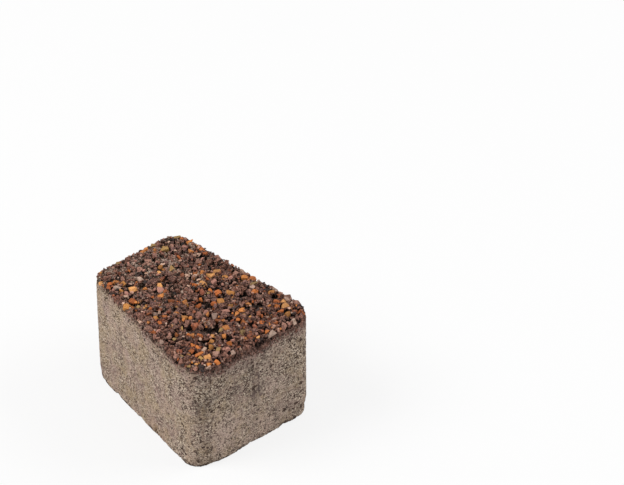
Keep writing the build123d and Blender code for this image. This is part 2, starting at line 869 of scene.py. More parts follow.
    def relief(self, pad: NodePad) -> Socket:
        """The sandy skin, its grains and its pits, as a surface direction.

        Args:
            pad: The material's nodes.

        Returns:
            The direction.
        """
        normal = pad.bump(pad.cloud(self.skin), self.skin_height * MM)
        distance, _ = pad.grains(self.coarse_sand)
        normal = pad.bump(pad.span(distance, self.sand_top), self.sand_height * MM, normal)
        level = pad.sum_of("SUBTRACT", 1.0, pad.specks(self.sunk_pits))
        return pad.bump(level, self.sunk_depth * MM, normal)

    def material(self) -> bpy.types.Material:
        """Builds the material of one fill of the stone.

        Returns:
            The material.
        """
        pad = NodePad("pressed_concrete")
        hollow = pad.attribute(HOLLOW_LAYER)["Fac"]
        concrete = self.soiled(pad, self.base_mix(pad))
        # Painted shade in the hollows of the concrete, darkest at the worn bed edge and the chips
        concrete = pad.mix(pad.span(hollow, self.base_hollow_shade), concrete, self.pit)
        # Painted shade along the foot of the walls: the lowest 2 mm or so are painted darker towards the bed
        foot = pad.sum_of("ADD", pad.height, pad.cloud(self.foot_shade_wander))
        concrete = pad.mix(pad.span(foot, self.foot_shade_fall), concrete, self.pit)
        line = self.above_seam(pad)
        concrete = self.smeared(pad, concrete, line)
        colour = pad.mix(pad.span(line, self.seam_rise), concrete, self.face_layer(pad, hollow))
        return pad.close(colour, pad.cloud(self.roughness), self.relief(pad), self.shine)


@dataclass(frozen=True)
class CrushedStone:
    """The finish of the exposed stones, each in its own colour. Sizes are in millimetres."""

    film: Colour = srgb(88, 57, 46)
    crystal: Colour = srgb(176, 132, 111)
    gap: Colour = srgb(26, 16, 13)
    shine: float = 0.3
    roughness: Cloud = Cloud(0.9, Ramp(0.3, 0.7, 0.6, 0.9), detail=2.0, shift=15.0)
    mottle: Cloud = Cloud(0.6, detail=4.0, shift=4.0)
    crystals: Ramp = Ramp(0.5, 0.62, 0.0, 0.6)
    pores: Ramp = Ramp(0.5, 0.38, 0.0, 0.75)
    grains: Grains = Grains(0.5, 38.0)
    grain_gaps: Ramp = Ramp(0.35, 0.0, 0.0, 0.55)
    dust: Cloud = Cloud(1.8, Ramp(0.5, 0.75, 0.0, 0.4), shift=44.0)
    skin: Cloud = Cloud(0.4, detail=4.0, shift=9.0)
    skin_height: float = 0.3

    def material(self) -> bpy.types.Material:
        """Builds the material that all the stones share.

        Returns:
            The material.
        """
        pad = NodePad("crushed_stone")
        own = pad.attribute(COLOUR_LAYER)
        colour, mottled = own["Color"], own["Alpha"]
        mottle = pad.cloud(self.mottle)
        _, grain = pad.grains(self.grains)
        coats = (
            (pad.span(mottle, self.crystals), self.crystal),
            (pad.span(mottle, self.pores), self.gap),
            (pad.span(grain, self.grain_gaps), self.gap),
        )
        for share, paint in coats:
            colour = pad.mix(pad.times(share, mottled), colour, paint)
        colour = pad.mix(pad.cloud(self.dust), colour, self.film)
        normal = pad.bump(pad.cloud(self.skin), self.skin_height * MM)
        return pad.close(colour, pad.cloud(self.roughness), normal, self.shine)


@dataclass(frozen=True)
class Chip:
    """A piece knocked off an edge, in millimetres: where it was, and its reach along each axis."""

    place: Point
    reach: Point


class Zone(Enum):
    """The parts of a layer's skin that dents are pressed into."""

    EVERYWHERE = "everywhere"
    WORN = "worn"
    WASHED = "washed"
    WALLS = "walls"
    RIM = "rim"


class Relief(Enum):
    """The textures that dents are pressed from."""

    CLOUDS = "clouds"
    POCKETS = "pockets"
    PITS = "pits"


@dataclass(frozen=True)
class Dent:
    """A relief that is pressed into one zone of a layer's skin. Its size and depth are in metres.

    Where its texture is at the level, the skin stays as it is, and below that it goes in. Pockets and pits
    are deepest where their texture is under the floor, and end where it comes to the brim.
    """

    zone: Zone
    size: float
    depth: float
    level: float = 1.0
    relief: Relief = Relief.CLOUDS
    detail: int = 2
    contrast: float = 1.0
    floor: float = 0.0
    brim: float = 1.0

    def texture(self) -> bpy.types.Texture:
        """Makes the texture.

        Returns:
            The texture, dark where the skin goes in.
        """
        kind = "VORONOI" if self.relief is Relief.PITS else "CLOUDS"
        texture = bpy.data.textures.new(self.relief.value, kind)
        texture.noise_scale = self.size
        texture.contrast = self.contrast
        if self.relief is not Relief.PITS:
            texture.noise_depth = self.detail
        if self.relief is not Relief.CLOUDS:
            texture.use_color_ramp = True
            ends = zip(texture.color_ramp.elements, (0.0, 1.0), (self.floor, self.brim))
            for end, shade, position in ends:
                end.color = (shade, shade, shade, 1.0)
                end.position = position
        return texture


@dataclass
class MouldedLayer:
    """One fill of the mould: the stone's plan between two heights, with a rough skin."""

    plan: StonePlan
    finish: PressedConcrete
    name: str
    slot: str
    grid: float
    low: float
    high: float
    upper_radius: float
    lower_radius: float
    tuck: float
    tuck_start: float
    tuck_end: float
    dents: tuple[Dent, ...]
    corner_segments: int = 10
    edge_segments: int = 3
    map_gap: float = 2.0 * MM
    clearance: float = 0.02 * MM
    made: bpy.types.Object = field(init=False)

    def build(self) -> bpy.types.Object:
        """Models the layer, roughens it and dresses it.

        Returns:
            The finished piece.
        """
        self.made = self.block()
        self.damage()
        apply_modifier(self.made, "REMESH", mode="VOXEL", voxel_size=self.grid)
        self.close_plainly()
        self.roughen()
        self.trim()
        self.lay_out_map()
        self.made.data.materials.clear()
        self.made.data.materials.append(self.finish.material())
        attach(self.made, BODY)
        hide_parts(NODE)
        return self.made

    def block(self) -> bpy.types.Object:
        """Shapes a cube into the trapezoid with its rounded corners and edges.

        Returns:
            The plain block.
        """
        plan, middle = self.plan, (self.low + self.high) / 2
        deselect_all()
        bpy.ops.mesh.primitive_cube_add(size=1.0, location=(0.0, 0.0, middle))
        block = bpy.context.object
        block.name = self.name
        block.scale = (plan.wide_end, plan.length, self.high - self.low)
        bpy.ops.object.transform_apply(location=True, rotation=True, scale=True)
        select_edges(block, lambda a, b: a.y > 0 and b.y > 0)
        narrowing = (plan.narrow_end / plan.wide_end, 1.0, 1.0)
        bpy.ops.transform.resize(value=narrowing, center_override=(0.0, 0.0, 0.0))
        reach = plan.length / 2 - self.grid
        for at_wide_end, side in ((True, -1), (False, 1)):
            select_edges(
                block,
                lambda a, b: min(a.y * side, b.y * side) > reach and (a.z - middle) * (b.z - middle) < 0,
            )
            setback = plan.setback(at_wide_end)
            bpy.ops.mesh.bevel(offset=setback, segments=self.corner_segments, affect="EDGES")
        select_edges(block, lambda a, b: min(a.z, b.z) > self.high - self.grid)
        bpy.ops.mesh.bevel(offset=self.upper_radius, segments=self.edge_segments, affect="EDGES")
        select_edges(block, lambda a, b: max(a.z, b.z) < self.low + self.grid)
        bpy.ops.mesh.bevel(offset=self.lower_radius, segments=self.edge_segments, affect="EDGES")
        bpy.ops.object.mode_set(mode="OBJECT")
        return block

    def damage(self) -> None:
        """Takes off what was knocked off the plain block."""

    def hidden(self, middles: Array) -> Array:
        """Says which faces lie inside the stone, against the other fill.

        Args:
            middles: The middles of the faces, one row each.

        Returns:
            True for each face that is hidden.
        """
        raise NotImplementedError

    def roughen(self) -> None:
        """Gives the layer its rough skin and the colours of its lumps."""
        raise NotImplementedError

    def close_plainly(self) -> None:
        """Closes the side that lies against the other fill with one plain face."""
        middles = read_all(self.made.data.polygons, "center", 3)
        activate(self.made)
        select_faces(self.made, self.hidden(middles))
        bpy.ops.mesh.delete(type="FACE")
        bpy.ops.mesh.select_all(action="SELECT")
        bpy.ops.mesh.fill_holes(sides=0)
        bpy.ops.object.mode_set(mode="OBJECT")

    def note_hollows(self, hollow: Array) -> None:
        """Notes how deep each vertex lies below the layer's plain form.

        Args:
            hollow: The depth at each vertex, in metres.
        """
        layer = self.made.data.attributes.new(HOLLOW_LAYER, "FLOAT", "POINT")
        layer.data.foreach_set("value", (hollow / MM).astype(np.float32))

    def push_in(self, places: Array, amount: Array) -> Array:
        """Moves points level towards the inside of the stone.

        Args:
            places: The points, one row each.
            amount: How far each of them moves, in metres.

        Returns:
            The points where they come to lie.
        """
        moved = places.copy()
        moved[:, :2] += self.plan.inward(places) * amount[:, None]
        return moved

    def put(self, places: Array) -> None:
        """Moves the vertices to new places."""
        self.made.data.vertices.foreach_set("co", places.astype(np.float32).ravel())
        self.made.data.update()

    def tuck_in(self, places: Array, above: Array) -> None:
        """Moves the skin in behind the other fill where it passes the seam.

        Args:
            places: The vertices, one row each.
            above: How far each of them lay above the seam, in metres.
        """
        self.put(self.push_in(places, self.tuck * smooth_step(above, self.tuck_start, self.tuck_end)))

    def trim(self) -> None:
        """Brings back inside whatever the relief pushed out of the paver's walls, top and bed."""
        places = points_of(self.made.data).astype(float)
        places[:, 2] = np.clip(places[:, 2], 0.0, self.plan.thickness)
        self.put(self.push_in(places, np.maximum(self.clearance - self.plan.depth(places[:, :2]), 0.0)))

    def weigh(self, zone: Zone, weights: Array) -> None:
        """Notes where a zone of the skin lies.

        Args:
            zone: The zone.
            weights: Its share at each vertex, from 0 to 1.
        """
        group = self.made.vertex_groups.new(name=zone.value)
        for index, weight in enumerate(weights.tolist()):
            if weight > 0:
                group.add([index], weight, "REPLACE")

    def press(self) -> None:
        """Presses the dents into the skin, one after the other."""
        for dent in self.dents:
            texture = dent.texture()
            apply_modifier(
                self.made,
                "DISPLACE",
                texture=texture,
                texture_coords="LOCAL",
                vertex_group=dent.zone.value,
                strength=dent.depth,
                mid_level=dent.level,
            )
            bpy.data.textures.remove(texture)

    def lay_out_map(self) -> None:
        """Lays the six sides out flat, side by side, on the map that the finish is baked to."""
        mesh, plan, gap = self.made.data, self.plan, self.map_gap
        half_wide, half_length, tall = plan.wide_end / 2, plan.length / 2, plan.thickness - self.low
        normals = read_all(mesh.polygons, "normal", 3)
        axis = np.abs(normals).argmax(1)
        positive = normals[np.arange(len(normals)), axis] > 0
        totals = read_all(mesh.polygons, "loop_total", 1, np.int32)
        corners = read_all(mesh.loops, "vertex_index", 1, np.int32)
        x, y, z = (points_of(mesh)[corners] - [0.0, 0.0, self.low]).T
        axis, positive = np.repeat(axis, totals), np.repeat(positive, totals)
        second_row, third_row = tall + gap, 2 * (tall + gap)
        flank = np.where(positive, half_length + y, 3 * half_length + gap + y)
        end = np.where(positive, half_wide + x, 3 * half_wide + gap + x)
        across = np.where(axis == 0, flank, end)
        up = np.select([axis == 0, axis == 1], [z, second_row + z], third_row + half_length + y)
        sheet = np.column_stack([across / (2 * plan.length + gap), up / (third_row + plan.length)])
        add_bake_map(mesh, sheet)


@dataclass
class BaseMix(MouldedLayer):
    """The grey-beige concrete that the stone is filled up with, below its face."""

    name: str = "base_mix"
    slot: str = "concrete"
    grid: float = 0.5 * MM
    low: float = 0.0
    high: float = 57.0 * MM
    upper_radius: float = 0.8 * MM
    lower_radius: float = 0.25 * MM
    tuck: float = 1.4 * MM
    tuck_start: float = -0.5 * MM
    tuck_end: float = 2.0 * MM
    dents: tuple[Dent, ...] = (
        Dent(Zone.EVERYWHERE, size=9.0 * MM, depth=0.3 * MM, level=0.7),
        Dent(Zone.EVERYWHERE, size=1.0 * MM, depth=0.5 * MM, level=0.75),
        Dent(Zone.EVERYWHERE, size=3.1 * MM, depth=0.5 * MM, relief=Relief.PITS, brim=0.3),
        Dent(Zone.WORN, size=8.0 * MM, depth=0.8 * MM, level=0.25, contrast=2.0),
        Dent(Zone.WORN, size=1.8 * MM, depth=0.5 * MM, level=0.3, contrast=1.3),
    )
    wear_reach: float = 3.5 * MM
    chips: tuple[Chip, ...] = (
        Chip((-4.6, -46.6, -0.7), (1.9, 1.7, 1.6)),
        Chip((-26.4, 43.6, 10.8), (1.3, 1.3, 1.0)),
        Chip((16.0, -47.0, -0.9), (6.0, 2.0, 1.7)),
        Chip((-29.6, 23.5, -0.6), (1.6, 2.2, 1.9)),
        Chip((-36.3, -33.6, 6.6), (1.4, 2.6, 0.9)),
        Chip((-35.6, -28.6, 3.2), (1.2, 1.8, 0.9)),
    )
    wears: tuple[Patch, ...] = (
        Patch((34.2, -42.8, -1.0), 10.0, 1.5),
        Patch((-29.5, -45.2, -1.0), 7.0, 1.0),
        Patch((15.0, -46.0, -1.5), 6.0, 0.6),
        Patch((-26.5, 41.5, -1.0), 8.0, 1.2),
    )
    chip_seed: int = 11
    chip_ragged: float = 0.25
    chip_subdivisions: int = 2

    def damage(self) -> None:
        """Knocks the chips off the edges with ragged balls."""
        for number, chip in enumerate(self.chips):
            deselect_all()
            bpy.ops.mesh.primitive_ico_sphere_add(subdivisions=self.chip_subdivisions, radius=1.0)
            ball = bpy.context.object
            bpy.ops.object.mode_set(mode="EDIT")
            bpy.ops.mesh.select_all(action="SELECT")
            bpy.ops.transform.vertex_random(offset=self.chip_ragged, seed=self.chip_seed + number)
            bpy.ops.object.mode_set(mode="OBJECT")
            ball.scale = Vector(chip.reach) * MM
            ball.location = Vector(chip.place) * MM
            bpy.ops.object.transform_apply(location=True, rotation=True, scale=True)
            apply_modifier(self.made, "BOOLEAN", operation="DIFFERENCE", object=ball, solver="EXACT")
            bpy.data.objects.remove(ball)

    def hidden(self, middles: Array) -> Array:
        """Says which faces lie under the face mix."""
        return middles[:, 2] > self.high - self.grid / 2

    def roughen(self) -> None:
        """Gives the walls their sandy, pitted skin and the bed its worn edge, and tucks the top in."""
        places = points_of(self.made.data).astype(float)
        height = places[:, 2]
        worn = smooth_step(np.hypot(self.plan.depth(places[:, :2]), height), self.wear_reach, 0.0)
        for wear in self.wears:
            places = self.push_in(places, wear.felt(places) * MM)
        self.put(places)
        self.weigh(Zone.EVERYWHERE, np.ones(len(places)))
        self.weigh(Zone.WORN, worn)
        self.press()
        above = height - self.finish.seam(places)
        places = points_of(self.made.data).astype(float)
        self.note_hollows(np.minimum(self.plan.depth(places[:, :2]), places[:, 2]))
        self.tuck_in(places, above)
        colour_vertices(self.made.data, np.tile([*self.finish.face_mix, 1.0], (len(places), 1)))
        activate(self.made)
        bpy.ops.object.shade_smooth()


class Mineral(Enum):
    """The kinds of stone in the face mix, each with the shades that it comes in."""

    PORPHYRY = (
        srgb(130, 87, 73),
        srgb(117, 84, 78),
        srgb(112, 68, 52),
        srgb(158, 114, 98),
        srgb(97, 62, 52),
        srgb(78, 49, 41),
    )
    OCHRE = (
        srgb(212, 134, 68),
        srgb(196, 112, 50),
        srgb(222, 158, 94),
        srgb(172, 92, 40),
        srgb(188, 126, 62),
    )
    ROSE = (srgb(190, 146, 126), srgb(180, 128, 112), srgb(200, 164, 142))
    OLIVE = (srgb(178, 140, 82), srgb(156, 126, 78))
    PALE = (srgb(178, 148, 132), srgb(194, 166, 148))
    BASALT = (srgb(40, 31, 30), srgb(28, 23, 24), srgb(56, 43, 40))
    RUSSET = (srgb(136, 72, 48), srgb(152, 86, 56))

    @property
    def mottled(self) -> float:
        """How much a stone of this kind is mottled with crystals and pores, from 0 to 1."""
        return MOTTLED.get(self, SLIGHTLY_MOTTLED)


Blend = tuple[tuple[Mineral, float], ...]
MOTTLED = {Mineral.PORPHYRY: 1.0, Mineral.RUSSET: 0.6, Mineral.BASALT: 0.15}
SLIGHTLY_MOTTLED = 0.35


def blended(**shares: float) -> Blend:
    """Pairs the minerals of a blend, in their order, with their shares."""
    return tuple((Mineral[name.upper()], share) for name, share in shares.items())


@dataclass
class FaceMix(MouldedLayer):
    """The brown face mix, packed from broken lumps, that the coarser stones sit in."""

    name: str = "face_mix"
    slot: str = "washed_face"
    grid: float = 0.38 * MM
    low: float = 50.0 * MM
    high: float = 59.7 * MM
    upper_radius: float = 2.3 * MM
    lower_radius: float = 0.4 * MM
    tuck: float = 1.6 * MM
    tuck_start: float = 0.5 * MM
    tuck_end: float = -2.0 * MM
    dents: tuple[Dent, ...] = (
        Dent(Zone.WASHED, size=4.0 * MM, depth=0.5 * MM, level=0.7, contrast=1.5),
        Dent(Zone.WASHED, size=3.8 * MM, depth=2.2 * MM, relief=Relief.POCKETS, floor=0.39, brim=0.48),
        Dent(Zone.RIM, size=5.0 * MM, depth=0.9 * MM, level=0.75, contrast=2.0),
        Dent(Zone.WASHED, size=0.9 * MM, depth=0.35 * MM, level=0.7, detail=1, contrast=1.4),
        Dent(Zone.WALLS, size=1.0 * MM, depth=0.5 * MM, level=0.75),
    )
    wash_reach: float = 1.5 * MM
    rim_reach: float = 5.0 * MM
    lumps: int = 5600
    rise: float = 0.6 * MM
    tilt: float = 0.34
    gap: float = 0.5 * MM
    gap_depth: float = 2.2 * MM
    gap_rarity: float = 4.0
    crease_angle: float = math.radians(35.0)
    washouts: tuple[Patch, ...] = (
        Patch((-12.0, -24.0, 60.0), 3.6, 3.0),
        Patch((-8.5, -26.0, 60.0), 3.0, 3.0),
        Patch((-16.5, -18.5, 60.0), 3.2, 2.6),
        Patch((1.0, -10.0, 60.0), 2.8, 2.4),
        Patch((-7.0, -35.0, 60.0), 2.3, 2.4),
        Patch((12.0, -2.0, 60.0), 2.3, 2.4),
        Patch((29.0, -25.0, 60.0), 2.4, 2.4),
        Patch((8.0, -33.0, 60.0), 2.4, 2.4),
        Patch((20.0, -25.0, 60.0), 2.4, 2.2),
        Patch((-13.0, 23.0, 60.0), 2.4, 2.4),
    )
    washout_floor: float = 1 / 3
    paste_reach: float = 2.2 * MM
    paste_fill: float = 0.5
    left_paste: float = 0.85
    front_paste: float = 0.5
    left_start: float = 0.2
    left_end: float = 0.75
    seed: int = 21
    shade_spread: float = 0.14
    blend: Blend = blended(porphyry=0.72, rose=0.06, pale=0.02, basalt=0.1, russet=0.06, ochre=0.04)

    def hidden(self, middles: Array) -> Array:
        """Says which faces lie on the base mix."""
        return middles[:, 2] < self.low + self.grid / 2

    def roughen(self) -> None:
        """Breaks the washed skin into lumps, and tucks its lower edge in behind the walls."""
        chance = np.random.default_rng(self.seed)
        plain = points_of(self.made.data).astype(float)
        outward = read_all(self.made.data.vertex_normals, "vector", 3)
        above = plain[:, 2] - self.finish.seam(plain)
        washed = smooth_step(above, 0.0, self.wash_reach)
        inside = np.hypot(self.plan.depth(plain[:, :2]), self.high - plain[:, 2])
        self.weigh(Zone.WASHED, washed)
        self.weigh(Zone.WALLS, 1 - washed)
        self.weigh(Zone.RIM, smooth_step(inside, self.rim_reach, 0.0))
        own, height = self.pack(plain, chance)
        pasted = self.pasted(plain)
        height = height * washed * (1 - self.paste_fill * pasted) - self.washed_out(plain)
        self.put(plain + outward * height[:, None])
        self.press()
        places = points_of(self.made.data).astype(float)
        self.note_hollows(np.sum((plain - places) * outward, axis=1) * (1 - pasted))
        self.tuck_in(places, above)
        colour_vertices(self.made.data, self.colours(own, pasted, chance))
        activate(self.made)
        bpy.ops.object.shade_smooth_by_angle(angle=self.crease_angle)

    def washed_out(self, places: Array) -> Array:
        """How far points sink where stones came out of the face.

        Args:
            places: The points, one row each.

        Returns:
            The depth at each of them, in metres.
        """
        return MM * np.max([washout.felt(places, self.washout_floor) for washout in self.washouts], axis=0)

    def pasted(self, places: Array) -> Array:
        """Says where cement paste was left on the rim: most along the left flank and round its corner.

        Args:
            places: The vertices before they were roughened, one row each.

        Returns:
            The share of paste at each of them, from 0 to 1.
        """
        outer = smooth_step(self.plan.depth(places[:, :2]), self.paste_reach, 0.0)
        on_left = smooth_step(self.plan.inward(places)[:, 0], self.left_start, self.left_end)
        return outer * (self.front_paste + (self.left_paste - self.front_paste) * on_left)

    def pack(self, places: Array, chance: Chance) -> tuple[Array, Array]:
        """Splits the skin into lumps, each at its own height and tilt, with gaps between them.

        Args:
            places: The vertices, one row each.
            chance: The random numbers.

        Returns:
            The number of each vertex's lump, and how far the vertex moves outwards.
        """
        middles = places[chance.choice(len(places), self.lumps, replace=False)]
        tree = KDTree(self.lumps)
        for number, middle in enumerate(middles):
            tree.insert(middle, number)
        tree.balance()
        nearest = [tree.find_n(place, 2) for place in places]
        own = np.array([first[1] for first, _ in nearest])
        room = np.array([second[2] - first[2] for first, second in nearest])
        slopes = chance.normal(0.0, self.tilt, (self.lumps, 3))
        height = np.sum((places - middles[own]) * slopes[own], axis=1)
        height -= chance.uniform(0.0, self.rise, self.lumps)[own]
        deep = self.gap_depth * chance.random(self.lumps)[own] ** self.gap_rarity
        return own, height - deep * smooth_step(room, self.gap, 0.0)

    def colours(self, own: Array, pasted: Array, chance: Chance) -> Array:
        """Picks a mineral and a shade for each lump, and lays the paste over them.

        Args:
            own: The number of each vertex's lump.
            pasted: The share of paste at each vertex.
            chance: The random numbers.

        Returns:
            Red, green, blue and mottling at each vertex.
        """
        minerals, weights = zip(*self.blend)
        shares = np.array(weights)
        picks = chance.choice(len(minerals), self.lumps, p=shares / shares.sum())
        shades = np.array([chance.choice(minerals[pick].value) for pick in picks])
        shades *= 1 + chance.normal(0.0, self.shade_spread, (self.lumps, 1))
        shades = np.clip(shades, DARKEST, BRIGHTEST)[own]
        shades += pasted[:, None] * (np.array(self.finish.paste) - shades)
        mottled = np.array([minerals[pick].mottled for pick in picks])
        return np.column_stack([shades, mottled[own]])


@dataclass(frozen=True)
class Grading:
    """One size class of the crushed stones. Lengths are in metres."""

    name: str
    count: int
    smallest: float
    largest: float
    settle: float
    cuts: int
    shapes: int
    blend: Blend


@dataclass(frozen=True)
class Spot:
    """A part of the face where ochre stones came together. Sizes are in millimetres."""

    across: float
    along: float
    reach: float

    def nearness(self, place: Array) -> float:
        """How near a place on the face is, from 1 in the middle down to 0.

        Args:
            place: The place, in metres.

        Returns:
            The nearness.
        """
        away = math.hypot(place[0] / MM - self.across, place[1] / MM - self.along)
        return math.exp(-((away / self.reach) ** 2))


@dataclass(frozen=True)
class Site:
    """Where a crushed stone lies: its place on the surface, the outward direction and its length."""

    place: Array
    normal: Array
    size: float


COARSE = Grading(
    name="face_stones_coarse",
    count=240,
    smallest=2.4 * MM,
    largest=4.7 * MM,
    settle=0.3 * MM,
    cuts=9,
    shapes=14,
    blend=blended(
        porphyry=0.46, ochre=0.33, rose=0.06, olive=0.03, pale=0.02, basalt=0.03, russet=0.03
    ),
)
MEDIUM = Grading(
    name="face_stones_medium",
    count=300,
    smallest=1.5 * MM,
    largest=2.4 * MM,
    settle=0.6 * MM,
    cuts=8,
    shapes=12,
    blend=blended(
        porphyry=0.59, ochre=0.07, rose=0.12, olive=0.02, pale=0.03, basalt=0.09, russet=0.04
    ),
)
GRIT = Grading(
    name="face_grit",
    count=500,
    smallest=0.9 * MM,
    largest=1.6 * MM,
    settle=0.7 * MM,
    cuts=7,
    shapes=10,
    blend=blended(porphyry=0.58, ochre=0.06, rose=0.12, pale=0.07, basalt=0.09, russet=0.08),
)


@dataclass
class WashedFace:
    """The crushed stones that the washed face shows, over the top and round its rim."""

    plan: StonePlan
    finish: CrushedStone
    washouts: tuple[Patch, ...]
    gradings: tuple[Grading, ...] = (COARSE, MEDIUM, GRIT)
    tries: int = 12
    packing: float = 0.84
    rim_radius: float = 2.0 * MM
    rim_turn: float = math.radians(55.0)
    rim_share: float = 0.1
    seed: int = 67
    rich_spots: tuple[Spot, ...] = (
        Spot(-27.0, -39.0, 8.0),
        Spot(-8.0, -26.0, 12.0),
        Spot(8.0, -30.0, 9.0),
        Spot(27.0, -32.0, 11.0),
        Spot(-22.0, 10.0, 10.0),
        Spot(-2.0, 4.0, 9.0),
        Spot(18.0, 2.0, 8.0),
        Spot(-17.0, 34.0, 8.0),
    )
    clearance: float = 0.02 * MM
    bare_share: float = 0.65
    bare_margin: float = 1 / 3
    lean_share: float = 0.45
    rich_gain: float = 1.5
    thinness: tuple[float, float] = (0.55, 0.9)
    slimness: tuple[float, float] = (0.6, 1.0)
    breaks: tuple[float, float] = (0.5, 1.0)
    lean: float = 0.35
    shade_spread: float = 0.18

    def build(self) -> list[bpy.types.Object]:
        """Models, sows and dresses the stones of each size class, the largest first.

        Returns:
            The finished pieces.
        """
        chance = np.random.default_rng(self.seed)
        material = self.finish.material()
        taken: list[Site] = []
        pieces = []
        for grading in self.gradings:
            shapes = [self.crush(grading.cuts, chance) for _ in range(grading.shapes)]
            sites = self.sow(grading, taken, chance)
            taken += sites
            piece = self.join(grading, shapes, sites, chance)
            piece.data.materials.append(material)
            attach(piece, BODY)
            pieces.append(piece)
        return pieces

    def crush(self, cuts: int, chance: Chance) -> tuple[Array, Array]:
        """Models one crushed stone: a block with flat breaks all round.

        Args:
            cuts: How many breaks it has.
            chance: The random numbers.

        Returns:
            Its points, and the three points of each of its triangles.
        """
        deselect_all()
        bpy.ops.mesh.primitive_cube_add(size=2.0)
        stone = bpy.context.object
        bpy.ops.object.mode_set(mode="EDIT")
        for _ in range(cuts):
            way = Vector(chance.normal(size=3)).normalized()
            middle = way * chance.uniform(*self.breaks)
            bpy.ops.mesh.select_all(action="SELECT")
            bpy.ops.mesh.bisect(plane_co=middle, plane_no=way, use_fill=True, clear_outer=True)
        bpy.ops.mesh.select_all(action="SELECT")
        bpy.ops.mesh.normals_make_consistent(inside=False)
        bpy.ops.object.mode_set(mode="OBJECT")
        mesh = stone.data
        mesh.calc_loop_triangles()
        triangles = read_all(mesh.loop_triangles, "vertices", 3, np.int32)
        points = points_of(mesh).astype(float)
        points -= (points.max(0) + points.min(0)) / 2
        points /= np.abs(points).max(0)
        bpy.data.objects.remove(stone)
        return points, triangles

    def sow(self, grading: Grading, taken: list[Site], chance: Chance) -> list[Site]:
        """Finds places for the stones of one size class where none lies yet.

        Args:
            grading: The size class.
            taken: The stones of the larger classes.
            chance: The random numbers.

        Returns:
            The sites of the stones.
        """
        walk = self.plan.walk()
        room = np.empty((len(taken) + grading.count, 4))
        for row, site in zip(room, taken):
            row[:] = (*site.place, site.size)
        sites = []
        for _ in range(grading.count * self.tries):
            if len(sites) == grading.count:
                break
            on_rim = chance.random() < self.rim_share
            size = grading.smallest * (grading.largest / grading.smallest) ** chance.random()
            site = self.rim_site(size, walk, chance) if on_rim else self.top_site(size, chance)
            used = len(taken) + len(sites)
            if site and not self.is_bare(site) and self.is_free(site, room[:used]):
                room[used] = (*site.place, site.size)
                sites.append(site)
        return sites

    def rim_site(self, size: float, walk: tuple[Array, Array, Array], chance: Chance) -> Site:
        """Picks a site on the rounded rim.

        Args:
            size: The stone's length.
            walk: The distances, places and outward directions of a walk round the outline.
            chance: The random numbers.

        Returns:
            The site.
        """
        walked, outline, outward = walk
        at = chance.random() * walked[-1]
        foot, way = (np.array([np.interp(at, walked, axis) for axis in row.T]) for row in (outline, outward))
        way /= np.linalg.norm(way)
        turn = chance.random() * self.rim_turn
        inner = foot - way * self.rim_radius * (1 - math.sin(turn))
        height = self.plan.thickness - self.rim_radius * (1 - math.cos(turn))
        normal = np.array([*(way * math.sin(turn)), math.cos(turn)])
        return Site(np.array([*inner, height]), normal, size)

    def top_site(self, size: float, chance: Chance) -> Site | None:
        """Picks a site on the flat of the face.

        Args:
            size: The stone's length.
            chance: The random numbers.

        Returns:
            The site, or nothing where the pick missed the flat.
        """
        half = np.array([self.plan.wide_end, self.plan.length]) / 2
        place = chance.uniform(-half, half)
        if self.plan.depth(place[None])[0] < self.rim_radius:
            return None
        return Site(np.array([*place, self.plan.thickness]), np.array([0.0, 0.0, 1.0]), size)

    def is_bare(self, site: Site) -> bool:
        """Says whether a site lies in a pocket that its stones were washed out of.

        Args:
            site: The site.

        Returns:
            True where no stone may lie.
        """
        margin = self.bare_margin * site.size / MM
        return any(
            np.linalg.norm(site.place / MM - washout.place) < self.bare_share * washout.reach + margin
            for washout in self.washouts
        )

    def is_free(self, site: Site, room: Array) -> bool:
        """Says whether no stone lies too near a site.

        Args:
            site: The site.
            room: The place and length of each stone that lies already.

        Returns:
            True where the site is free.
        """
        away = np.sum((site.place - room[:, :3]) ** 2, axis=1)
        return not np.any(away < (self.packing * (site.size + room[:, 3]) / 2) ** 2)

    def join(
        self, grading: Grading, shapes: list[tuple[Array, Array]], sites: list[Site], chance: Chance
    ) -> bpy.types.Object:
        """Sets a crushed stone at each site, and joins them as one mesh.

        Args:
            grading: The size class.
            shapes: The modelled stones.
            sites: Where they lie.
            chance: The random numbers.

        Returns:
            The joined piece, with each stone's colour and its cell of the baked map.
        """
        columns = math.ceil(math.sqrt(len(sites)))
        points, faces, colours, sheet = [], [], [], []
        count = 0
        for number, site in enumerate(sites):
            shape, triangles = shapes[chance.integers(len(shapes))]
            points.append(self.set_down(site, shape, grading.settle, chance))
            faces.append(triangles + count)
            colours.append(np.tile(self.colour_of(site, grading.blend, chance), (len(shape), 1)))
            cell = np.array([number % columns, number // columns])
            sheet.append((self.flattened(shape, triangles) + cell) / columns)
            count += len(shape)
        mesh = bpy.data.meshes.new(grading.name)
        mesh.from_pydata(np.concatenate(points).tolist(), [], np.concatenate(faces).tolist())
        colour_vertices(mesh, np.concatenate(colours))
        add_bake_map(mesh, np.concatenate(sheet))
        piece = bpy.data.objects.new(grading.name, mesh)
        bpy.context.scene.collection.objects.link(piece)
        return piece

    def set_down(self, site: Site, shape: Array, settle: float, chance: Chance) -> Array:
        """Turns a stone at random and sinks it in at its site.

        Args:
            site: Where it lies.
            shape: The stone's points, about its middle.
            settle: How far below the surface its top may come to lie.
            chance: The random numbers.

        Returns:
            The points where they come to lie.
        """
        spread = np.array([1.0, chance.uniform(*self.slimness), chance.uniform(*self.thinness)])
        lean = Euler(chance.uniform(-self.lean, self.lean, 2).tolist() + [chance.uniform(0, 2 * math.pi)])
        stand = Vector(site.normal).to_track_quat("Z", "Y").to_matrix() @ lean.to_matrix()
        turned = (shape * spread * site.size / 2) @ np.array(stand).T
        proud = (turned @ site.normal).max() + chance.random() * settle
        return self.kept_inside(turned + site.place - site.normal * proud)

